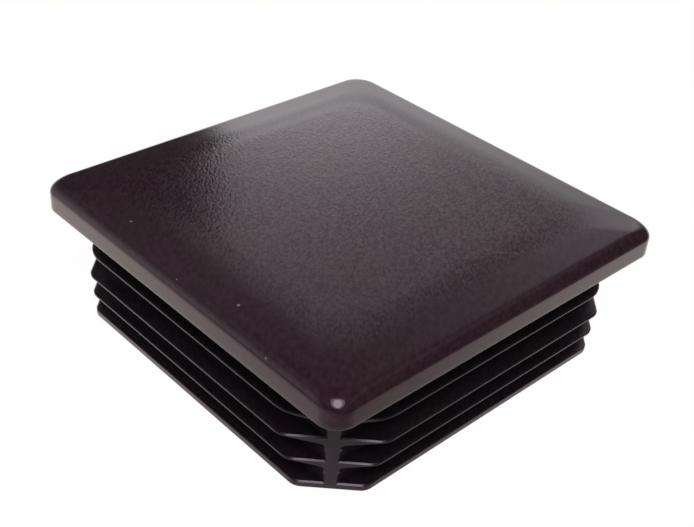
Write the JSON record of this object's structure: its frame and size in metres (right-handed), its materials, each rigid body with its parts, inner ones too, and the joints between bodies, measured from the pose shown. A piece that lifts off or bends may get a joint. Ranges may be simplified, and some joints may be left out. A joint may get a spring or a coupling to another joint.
{
  "type": "square tube end cap",
  "caption": "Square plug-in end cap with a bevelled head and a hollow ribbed plug that grips the bore of a square tube.",
  "frame": {"origin": "middle of the seat, the plane of the head's flat underside that lies on the tube's cut end", "axes": "+Z out of the tube, through the middle of the head; +X and +Y square to two neighbouring sides"},
  "size_m": [0.1, 0.1, 0.0339],
  "materials": {
    "black_plastic": "fine moulded grain, satin sheen"
  },
  "bodies": {
    "root": {"end_cap": "black_plastic"}
  },
  "joints": []
}
